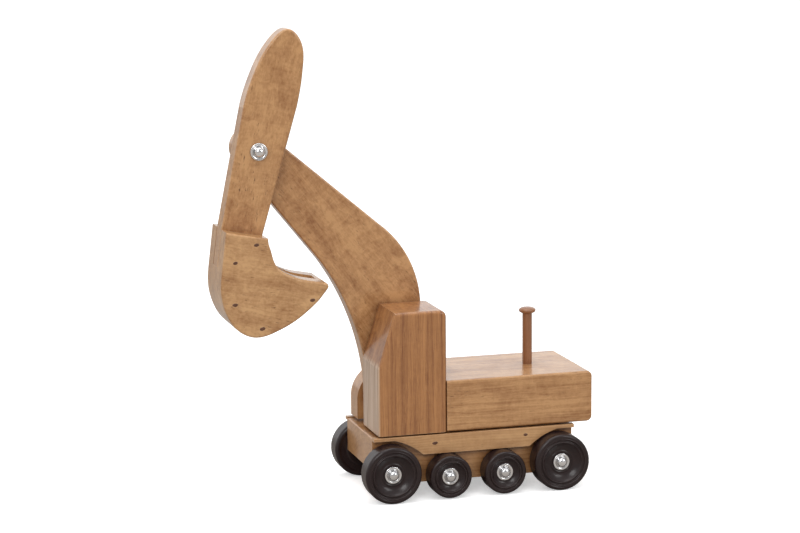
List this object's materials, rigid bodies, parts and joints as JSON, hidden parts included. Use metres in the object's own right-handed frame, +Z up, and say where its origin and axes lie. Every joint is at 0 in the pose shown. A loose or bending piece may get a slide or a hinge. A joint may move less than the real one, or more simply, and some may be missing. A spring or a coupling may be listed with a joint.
{
  "type": "toy excavator",
  "caption": "Wooden toy excavator with a slewing house and cab, a luffing boom, a pivoting stick with a fixed scoop bucket, and free-rolling dark wheels on steel axles.",
  "frame": {"origin": "on the ground plane, below the middle of the overall length and width; the slewing axis is 57.7 mm behind it", "axes": "+Z up, the front of the vehicle faces -Y, the cab is on the vehicle's left side, +X"},
  "size_m": [0.1234, 0.3313, 0.4114],
  "materials": {
    "chassis_wood": "gloss varnish",
    "fender_wood": "gloss varnish",
    "cab_wood": "gloss varnish",
    "body_wood": "gloss varnish",
    "arm_wood": "gloss varnish",
    "peg_wood": "gloss varnish",
    "dowel_wood": "raw",
    "disc_wood": "waxed hardboard",
    "wheel_wood": "dark gloss lacquer",
    "axle_steel": "bright drawn",
    "cap_steel": "bright pressed",
    "nail_steel": "dulled",
    "bolt_steel": "zinc plated",
    "washer_fibre": "vulcanised fibre"
  },
  "bodies": {
    "chassis": {"chassis_block": "chassis_wood", "fender_left": "fender_wood", "fender_right": "fender_wood", "fender_nails": "nail_steel", "turntable_disc": "disc_wood", "axle_caps": "cap_steel", "front_axle": "axle_steel", "second_axle": "axle_steel", "third_axle": "axle_steel", "rear_axle": "axle_steel"},
    "house": {"cab_block": "cab_wood", "side_block": "body_wood", "engine_block": "body_wood", "house_dowels": "dowel_wood", "exhaust_peg": "peg_wood", "boom_pin": "axle_steel", "slew_bolt": "bolt_steel", "slew_washer": "bolt_steel"},
    "boom": {"boom": "arm_wood", "stick_pin": "axle_steel", "stick_pin_caps": "cap_steel", "stick_washer": "washer_fibre"},
    "stick": {"stick": "arm_wood", "bucket_side_left": "arm_wood", "bucket_side_right": "arm_wood", "bucket_back": "arm_wood", "bucket_nails": "nail_steel"},
    "front_wheel_left": {"front_wheel_left": "wheel_wood"},
    "front_wheel_right": {"front_wheel_right": "wheel_wood"},
    "second_wheel_left": {"second_wheel_left": "wheel_wood"},
    "second_wheel_right": {"second_wheel_right": "wheel_wood"},
    "third_wheel_left": {"third_wheel_left": "wheel_wood"},
    "third_wheel_right": {"third_wheel_right": "wheel_wood"},
    "rear_wheel_left": {"rear_wheel_left": "wheel_wood"},
    "rear_wheel_right": {"rear_wheel_right": "wheel_wood"}
  },
  "joints": [
    {"name": "house_slew", "type": "hinge", "parent": "chassis", "child": "house", "pos_m": [0, 0.0577, 0.0579], "axis": [0, 0, 1], "continuous": true},
    {"name": "boom_luff", "type": "hinge", "parent": "house", "child": "boom", "pos_m": [-0.01345, -0.0003, 0.085], "axis": [1, 0, 0], "range_deg": [-10, 45]},
    {"name": "stick_crowd", "type": "hinge", "parent": "boom", "child": "stick", "pos_m": [0, -0.1265, 0.3076], "axis": [1, 0, 0], "range_deg": [-115, 3]},
    {"name": "front_wheel_left_spin", "type": "hinge", "parent": "chassis", "child": "front_wheel_left", "pos_m": [0.0517, -0.0215, 0.0254], "axis": [1, 0, 0], "continuous": true},
    {"name": "front_wheel_right_spin", "type": "hinge", "parent": "chassis", "child": "front_wheel_right", "pos_m": [-0.0517, -0.0215, 0.0254], "axis": [1, 0, 0], "continuous": true},
    {"name": "second_wheel_left_spin", "type": "hinge", "parent": "chassis", "child": "second_wheel_left", "pos_m": [0.0517, 0.0308, 0.01995], "axis": [1, 0, 0], "continuous": true},
    {"name": "second_wheel_right_spin", "type": "hinge", "parent": "chassis", "child": "second_wheel_right", "pos_m": [-0.0517, 0.0308, 0.01995], "axis": [1, 0, 0], "continuous": true},
    {"name": "third_wheel_left_spin", "type": "hinge", "parent": "chassis", "child": "third_wheel_left", "pos_m": [0.0517, 0.0809, 0.01995], "axis": [1, 0, 0], "continuous": true},
    {"name": "third_wheel_right_spin", "type": "hinge", "parent": "chassis", "child": "third_wheel_right", "pos_m": [-0.0517, 0.0809, 0.01995], "axis": [1, 0, 0], "continuous": true},
    {"name": "rear_wheel_left_spin", "type": "hinge", "parent": "chassis", "child": "rear_wheel_left", "pos_m": [0.0517, 0.1332, 0.0254], "axis": [1, 0, 0], "continuous": true},
    {"name": "rear_wheel_right_spin", "type": "hinge", "parent": "chassis", "child": "rear_wheel_right", "pos_m": [-0.0517, 0.1332, 0.0254], "axis": [1, 0, 0], "continuous": true}
  ]
}
